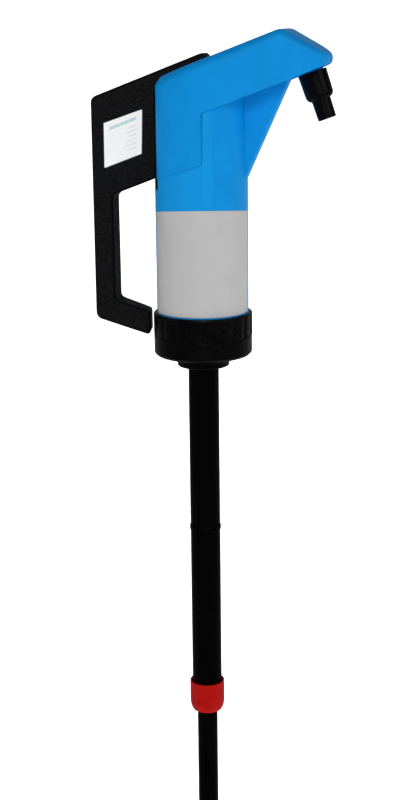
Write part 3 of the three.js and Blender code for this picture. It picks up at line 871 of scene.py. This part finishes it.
# ---------------------------------------------------------------- barrel label
def barrel_label():
    """A film round the barrel. Its upper edge lies in a plane that falls away from the middle."""
    low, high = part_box("barrel_label")
    foot, middle_top = low.z / MM, high.z / MM
    fall = 0.125  # of the tilted plane, per millimetre
    reach = 75 * DEGREE
    outer, inner = BARREL_RADIUS + 0.4, BARREL_RADIUS + 0.05
    columns, levels = 80, 8
    points = []
    for radius in (outer, inner):
        for i in range(columns + 1):
            turn = -reach + 2 * reach * i / columns
            angle = -math.pi / 2 + VIEW_AZIMUTH + turn
            top = middle_top - fall * outer * (1 - math.cos(turn))
            for k in range(levels + 1):
                z = foot + (top - foot) * k / levels
                points.append((radius * math.cos(angle), radius * math.sin(angle), z))
    sheet = (columns + 1) * (levels + 1)

    def at(side, i, k):
        """Index of a point on the outer (0) or inner (1) sheet."""
        return side * sheet + i * (levels + 1) + k

    faces = []
    for side in (0, 1):
        for i in range(columns):
            for k in range(levels):
                foot_pair = (at(side, i, k), at(side, i + 1, k))
                faces.append((*foot_pair, at(side, i + 1, k + 1), at(side, i, k + 1)))
    for i in range(columns):
        for k in (0, levels):
            faces.append((at(0, i, k), at(0, i + 1, k), at(1, i + 1, k), at(1, i, k)))
    for k in range(levels):
        for i in (0, columns):
            faces.append((at(0, i, k), at(0, i, k + 1), at(1, i, k + 1), at(1, i, k)))
    return solid("barrel_film", points, faces)


show(barrel_label(), "pump_body", GREY, "grey_label", "barrel_label")


# ---------------------------------------------------------------- collar and base cap
def collar_shell():
    """The locking ring: 20 broad ribs under a plain brim, with rounded rib edges."""
    ribs, per_rib = 20, 16
    valley = 0.9
    brim_foot = COLLAR_TOP - 2.4
    wall = COLLAR_RADIUS - COLLAR_BORE

    def dip(turn):
        """0 on a rib, 1 in the valley between two ribs."""
        share = turn * ribs % 1
        start, end, blend = 0.60, 1.04, 0.06
        if share < end - 1:
            share += 1
        up = min(max((share - start) / blend, 0), 1)
        down = min(max((end - share) / blend, 0), 1)
        depth = min(up, down)
        return depth * depth * (3 - 2 * depth)

    levels = [
        (COLLAR_FOOT, 0.5, 1), (COLLAR_FOOT + 0.25, 0.12, 1), (COLLAR_FOOT + 0.6, 0, 1),
        (brim_foot - 0.5, 0, 1), (brim_foot, 0, 0.5), (brim_foot + 0.3, 0, 0),
        (COLLAR_TOP - 1.4, 0, 0), (COLLAR_TOP - 0.7, 0.35, 0), (COLLAR_TOP - 0.2, 0.95, 0),
        (COLLAR_TOP, 1.5, 0), (COLLAR_TOP, wall, 0), (COLLAR_FOOT, wall, 0),
    ]  # height, inset from the outer radius, depth of the valleys
    rows = []
    for i in range(ribs * per_rib):
        turn = i / (ribs * per_rib)
        angle = 2 * math.pi * turn
        row = []
        for z, inset, depth in levels:
            radius = COLLAR_RADIUS - inset - valley * depth * dip(turn)
            row.append((radius * math.cos(angle), radius * math.sin(angle), z))
        rows.append(row)
    return skin("locking_collar", rows, capped=False)


def base_cap():
    """The cap that closes the barrel's foot, with the bung nipple under it."""
    socket = TUBE_RADIUS + 0.2
    nipple_edge, cap_edge = 0.8, 3
    floor, socket_top, port = 8, 2, 11
    return turned("base_cup", [
        (socket, NIPPLE_FOOT, 0.3),
        (NIPPLE_RADIUS - nipple_edge, NIPPLE_FOOT, 0.3),
        (NIPPLE_RADIUS, NIPPLE_FOOT + nipple_edge, 0.3),
        (NIPPLE_RADIUS, 0, 0.5),
        (CAP_RADIUS - cap_edge, 0, 2.2),
        (CAP_RADIUS, cap_edge, 2.0),
        (CAP_RADIUS, CAP_TOP, 0.5),
        (COLLAR_BORE, CAP_TOP, 0.3),
        (COLLAR_BORE, floor),
        (port, floor),
        (port, socket_top),
        (socket, socket_top),
    ], 160)


show(collar_shell(), "pump_body", GLOSS, "black_collar", "collar_ring")
show(base_cap(), "pump_body", GLOSS, "black_collar", "base_cap")


# ---------------------------------------------------------------- suction tubes
def upper_tube():
    """Its foot is stepped to hold the joint ring."""
    foot, step, top = -190.1, -187.3, 1.7
    return turned("upper_pipe", [
        (TUBE_BORE, foot), (JOINT_BORE, foot), (JOINT_BORE, step), (TUBE_RADIUS, step, 0.3),
        (TUBE_RADIUS, top, 0.3), (TUBE_BORE, top),
    ], 80)


def joint_ring():
    """A snap joint: two small beads with a groove between them."""
    return turned("joint_bead", [
        (15.1, -193), (16.3, -193, 0.3), (16.8, -192.1, 0.5), (16.75, -190.7, 0.3), (16.25, -190.25, 0.3),
        (16.75, -189.8, 0.3), (16.8, -188.4, 0.5), (16.3, -187.5, 0.3), (15.1, -187.5),
    ], 80)


def lower_tube():
    """Its top is stepped like the upper tube's foot."""
    step, top = -193.2, -190.4
    return turned("lower_pipe", [
        (TUBE_BORE, TUBE_FOOT), (TUBE_RADIUS, TUBE_FOOT, 0.4), (TUBE_RADIUS, step, 0.3), (JOINT_BORE, step),
        (JOINT_BORE, top), (TUBE_BORE, top),
    ], 80)


def clamp_nut():
    """A rounded cup with a lip round the lower tube and a cone inside that squeezes the collet."""
    outer, bore, hole = 18.8, 16.4, 11.7
    top, foot, cone_top = -368.5, -402.6, -385.4
    return turned("red_clamp_nut", [
        (bore, top - 2.6, 0.4), (17.5, top, 0.3), (outer - 0.6, top, 0.3), (outer, top - 0.6, 0.4),
        (outer, -391.5, 6), (18.4, -396, 3), (17.4, -399.8, 2), (15.9, foot, 0.9),
        (hole, foot, 0.3), (hole, -398), (bore - 0.3, cone_top), (bore, cone_top),
    ])


def inner_tube():
    top = -180
    return turned("inner_pipe", [
        (INNER_TUBE_BORE, INNER_TUBE_FOOT), (INNER_TUBE_RADIUS, INNER_TUBE_FOOT),
        (INNER_TUBE_RADIUS, top, 0.4), (INNER_TUBE_BORE, top, 0.4),
    ], 72)


def strainer():
    """The foot's cup, with six side slots cut by three bars through it."""
    radius, socket, hole, room = 14, 11.3, 5, 8.8
    top, floor, seat = -560, STRAINER_FOOT + 2.5, INNER_TUBE_FOOT - 0.3
    slots, slot_half = 6, 2.5
    cup = turned("strainer_cup", [
        (socket, top, 0.3), (radius - 0.6, top, 0.4), (radius, top - 1, 0.4),
        (radius, STRAINER_FOOT + 2, 1.2), (radius - 2, STRAINER_FOOT, 1.0),
        (hole, STRAINER_FOOT, 0.5), (hole, floor, 0.5), (room, floor), (room, seat), (socket, seat),
    ], 72)
    for k in range(slots // 2):
        bar = block("bar", (-20, -slot_half, floor + 1), (20, slot_half, INNER_TUBE_FOOT - 1))
        cut(cup, place(bar, Matrix.Rotation(k * 2 * math.pi / slots, 4, "Z")))
    return soften(cup, 0.25, angle=50)


show(upper_tube(), "pump_body", TUBE, "black_tube", "upper_tube")
show(joint_ring(), "pump_body", TUBE, "black_tube", "tube_joint_ring")
show(lower_tube(), "pump_body", TUBE, "black_tube", "lower_tube")
show(clamp_nut(), "clamp_nut", RED, "red_nut", "tube_clamp_nut")
show(inner_tube(), "inner_tube", TUBE, "black_tube", "inner_tube")
show(strainer(), "inner_tube", TUBE, "black_tube", "foot_strainer")


# ---------------------------------------------------------------- outlet
def nozzle_nut():
    """The upper step of the outlet, which holds the tail by its flange."""
    bore, hole = 12, 10
    top, seat, foot = -0.8, -17.9, -28.7
    return place(turned("outlet_nut", [
        (bore, top, 0.2), (14.6, top, 0.5), (14.1, -23.8, 1.2), (12.9, -26.8, 1.0), (10.6, foot, 0.3),
        (hole, foot, 0.2), (hole, seat), (bore, seat),
    ], 80), nozzle_matrix())


def nozzle_tail():
    """The lower step of the outlet, a slightly tapered pipe with a flange."""
    bore, flange, outer = 6.5, 11.5, 9.7
    top, flange_foot, foot = -14.5, -17.4, -48.6
    return place(turned("outlet_tail", [
        (bore, top), (flange, top), (flange, flange_foot), (outer, flange_foot),
        (outer - 0.4, foot + 0.8, 0.8), (outer - 1, foot, 0.4), (bore, foot, 0.4),
    ], 72), nozzle_matrix())


show(nozzle_nut(), "pump_body", SATIN, "black_nozzle", "nozzle_nut")
show(nozzle_tail(), "pump_body", SATIN, "black_nozzle", "nozzle_tail")


# ---------------------------------------------------------------- lever
def lever_plate():
    """The grip loop and the hinge end as one plate, the hook's end face leaning back on its far side."""
    outline = rounded([
        (-111.6, 263, 8),
        (-112, 36.8, 9),
        (-53, 19.6, 4.5),
        (-53, 45.2, 4.5),
        (-90.4, 56.3, 6),
        (-90.6, 165, 8),
        (-38.5, 184.9, 5),
        (-38, 209),
        (-18, 240),
        (-8, 247),
        (10.8, 268, 6),
        (10.8, 300, 4.5),
        (4.8, 306.8, 4.5),
    ], 8)
    body = plate("lever_grip", outline, -LEVER_HALF, LEVER_HALF, 2.8, 6)
    for vertex in body.data.vertices:
        x, y, z = vertex.co / MM
        if x > HOOK_ROOT_X and z < HOOK_TOP_Z:
            vertex.co.x -= HOOK_LEAN * (y + LEVER_HALF) / (2 * LEVER_HALF) * MM
    return body


def slot_apron():
    """The curved shield on the lever that fills the slot in the barrel."""
    inner, outer, half = 44.4, 47.2, 25.5
    foot, top = SLOT_FOOT + 0.7, 268
    wall = turned("apron", [(inner, foot), (outer, foot), (outer, top), (inner, top)], ROUND)
    return common(wall, block("window", (PAST_BACK, -half, foot - 2.7), (-30, half, top + 2)))


def lever_shell():
    """The lever with its hub, its apron and the slots in which the rod's pin runs."""
    body = join(lever_plate(), cross_pin("hub", HUB_RADIUS, HUB_HALF, *FULCRUM), slot_apron())
    slot_radius, pocket_half, past = 6.2, 7.5, 20
    hinge = Vector(FULCRUM)
    along = Vector((math.cos(LEVER_REST), math.sin(LEVER_REST)))
    across = Vector((along.y, -along.x)) * slot_radius
    near, far = [hinge + along * reach for reach in (27, 34)]
    run = [near + across, far + across, far - across, near - across]
    return cut(
        body,
        cross_pin("bush_bore", BUSH_BORE, 40, *FULCRUM),
        block("pocket", (-16.5, -pocket_half, 230), (14, pocket_half, 289)),
        cross_pin("slot_end_a", slot_radius, past, *near),
        cross_pin("slot_end_b", slot_radius, past, *far),
        plate("slot_run", run, -past, past),
    )


show(lever_shell(), "lever", GRAINED, "black_lever", "lever_handle")

STICKER = [(-97.6, 237.6), (-98, 192.6), (-58.6, 207.4), (-57.1, 251.5)]


def sticker(name, grow, front, back):
    """A sheet on the lever's near face, larger than the sticker's outline by grow."""
    outline = rounded([(x, z, 1.0) for x, z in STICKER], 4)
    return plate(name, shrunk(outline, -grow), front, back)


def show_sticker():
    """White paper over a slightly larger dark blue sheet that shows round it as a painted shadow strip."""
    low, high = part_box("lever_label")
    left, right = STICKER[1:3]
    slope = (right[1] - left[1]) / (right[0] - left[0])
    face = -LEVER_HALF
    # painted shadow: the dark sheet under the paper, 0.7 mm larger all round
    border = sticker("sticker_shadow_border", 0.7, face - 0.30, face - 0.04)
    paper = sticker("sticker_sheet", 0.0, face - 0.45, face - 0.28)
    show(border, "lever", EDGE_SHADOW, "white_label")
    show(paper, "lever", sticker_paper(low, high, slope), "white_label", "lever_label")


show_sticker()

# ---------------------------------------------------------------- CAD nodes kept as they are
KEPT = {
    "foot_gasket": RUBBER,
    "intake_valve_cage": NATURAL,
    "intake_valve_disc": RUBBER,
    "nozzle_gasket": RUBBER,
    "clamp_collet": NATURAL,
    "inner_tube_stop_ring": NATURAL,
    "lever_bush": NATURAL,
    "fulcrum_pin": STEEL,
    "piston_rod": STEEL,
    "rod_cross_pin": STEEL,
    "piston": NATURAL,
    "piston_seal": RUBBER,
    "piston_valve_disc": RUBBER,
    "valve_retainer": STEEL,
    "rod_gland": NATURAL,
    "rod_seal": RUBBER,
    "seal_retainer": NATURAL,
    "gland_clip": STEEL,
}
for node, finish in KEPT.items():
    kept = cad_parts[node]
    kept.data.materials.clear()
    kept.data.materials.append(finish)


# ---------------------------------------------------------------- stage, lights and camera
def stage():
    """A pale floor that sweeps up into a backdrop."""
    floor = CAD_BOX[0].z / MM
    half, front, back, sweep, high = 9000, -6000, 5200, 1800, 9000
    steps = 16
    profile = [(front, floor), (back - sweep, floor)]
    for k in range(1, steps + 1):
        turn = k / steps * math.pi / 2
        profile.append((back - sweep + sweep * math.sin(turn), floor + sweep * (1 - math.cos(turn))))
    profile.append((back, high))
    points = [(x, y, z) for y, z in profile for x in (-half, half)]
    faces = [(2 * k, 2 * k + 1, 2 * k + 3, 2 * k + 2) for k in range(len(profile) - 1)]
    mesh = bpy.data.meshes.new("studio_floor")
    mesh.from_pydata([Vector(p) * MM for p in points], [], faces)
    sheet = add_object("studio_floor", mesh)
    for polygon in mesh.polygons:
        polygon.use_smooth = True
    n = Nodes("studio_paper")
    paper = n.blend(n.noise(900, 2.0), (0.90, 0.90, 0.90), (0.93, 0.93, 0.93))
    paper = n.blend(n.add("ShaderNodeLightPath").outputs["Is Glossy Ray"], paper, FLOOR_IN_GLOSS)
    mesh.materials.append(n.finish(paper, 0.9, None, Specular_IOR_Level=0.1))


def area_light(name, place_at, aim_at, size, power):
    data = bpy.data.lights.new(name, "AREA")
    data.shape = "RECTANGLE"
    data.size, data.size_y = size
    data.energy = power
    lamp = bpy.data.objects.new(name, data)
    bpy.context.scene.collection.objects.link(lamp)
    lamp.location = place_at
    lamp.rotation_euler = (Vector(aim_at) - Vector(place_at)).to_track_quat("-Z", "Y").to_euler()
    return lamp


def studio_world():
    """White to the camera, a weak even light on diffuse surfaces and nearly dark in reflections."""
    world = bpy.data.worlds.new("studio")
    world.use_nodes = True
    tree = world.node_tree
    background = tree.nodes["Background"]
    background.inputs["Color"].default_value = (1, 1, 1, 1)
    path = tree.nodes.new("ShaderNodeLightPath")
    strength = tree.nodes.new("ShaderNodeMapRange")
    strength.inputs["To Min"].default_value = WORLD_LIGHT
    strength.inputs["To Max"].default_value = WORLD_GLOSS
    tree.links.new(path.outputs["Is Glossy Ray"], strength.inputs["Value"])
    seen = tree.nodes.new("ShaderNodeMath")
    seen.operation = "ADD"
    tree.links.new(strength.outputs["Result"], seen.inputs[0])
    tree.links.new(path.outputs["Is Camera Ray"], seen.inputs[1])
    tree.links.new(seen.outputs["Value"], background.inputs["Strength"])
    bpy.context.scene.world = world


def lights():
    """Three lamps for the pump, and two that light only the stage, to keep it white."""
    area_light("key", (0.55, -2.2, 1.35), (0, 0, 0.0), (1.0, 0.8), 22.5)
    area_light("left_fill", (-2.4, -1.4, 0.9), (0, 0, 0.1), (1.2, 1.8), 5)
    area_light("right_fill", (2.5, -0.9, 0.8), (0.1, 0, 0.2), (1.2, 1.6), 6.5)
    stage_lights = [
        area_light("overhead", (0.2, 0.6, 3.2), (0, 0, 0), (3.5, 3.5), 110),
        area_light("backdrop_wash", (0, 1.2, 2.9), (0, 4.6, 0.4), (5.0, 1.2), 270),
    ]
    receivers = bpy.data.collections.new("stage_only")
    receivers.objects.link(bpy.data.objects["studio_floor"])
    for lamp in stage_lights:
        lamp.light_linking.receiver_collection = receivers


def camera():
    """Front view, turned a little to the spout's side and looking down a little."""
    distance, height = 1.532, 0.340
    pitch, roll = 14.3 * DEGREE, 0.675 * DEGREE
    data = bpy.data.cameras.new("camera")
    data.lens = 67.5
    data.clip_end = 60
    eye = bpy.data.objects.new("camera", data)
    bpy.context.scene.collection.objects.link(eye)
    sin_a, cos_a = math.sin(VIEW_AZIMUTH), math.cos(VIEW_AZIMUTH)
    forward = Vector((-sin_a * math.cos(pitch), cos_a * math.cos(pitch), -math.sin(pitch)))
    level = Vector((cos_a, sin_a, 0))
    upright = level.cross(forward)
    right = level * math.cos(roll) - upright * math.sin(roll)
    up = upright * math.cos(roll) + level * math.sin(roll)
    turn = Matrix((right, up, -forward)).transposed().to_4x4()
    eye.matrix_world = Matrix.Translation((distance * sin_a, -distance * cos_a, height)) @ turn
    bpy.context.scene.camera = eye


stage()
studio_world()
lights()
camera()
bpy.context.scene.view_settings.view_transform = "Standard"
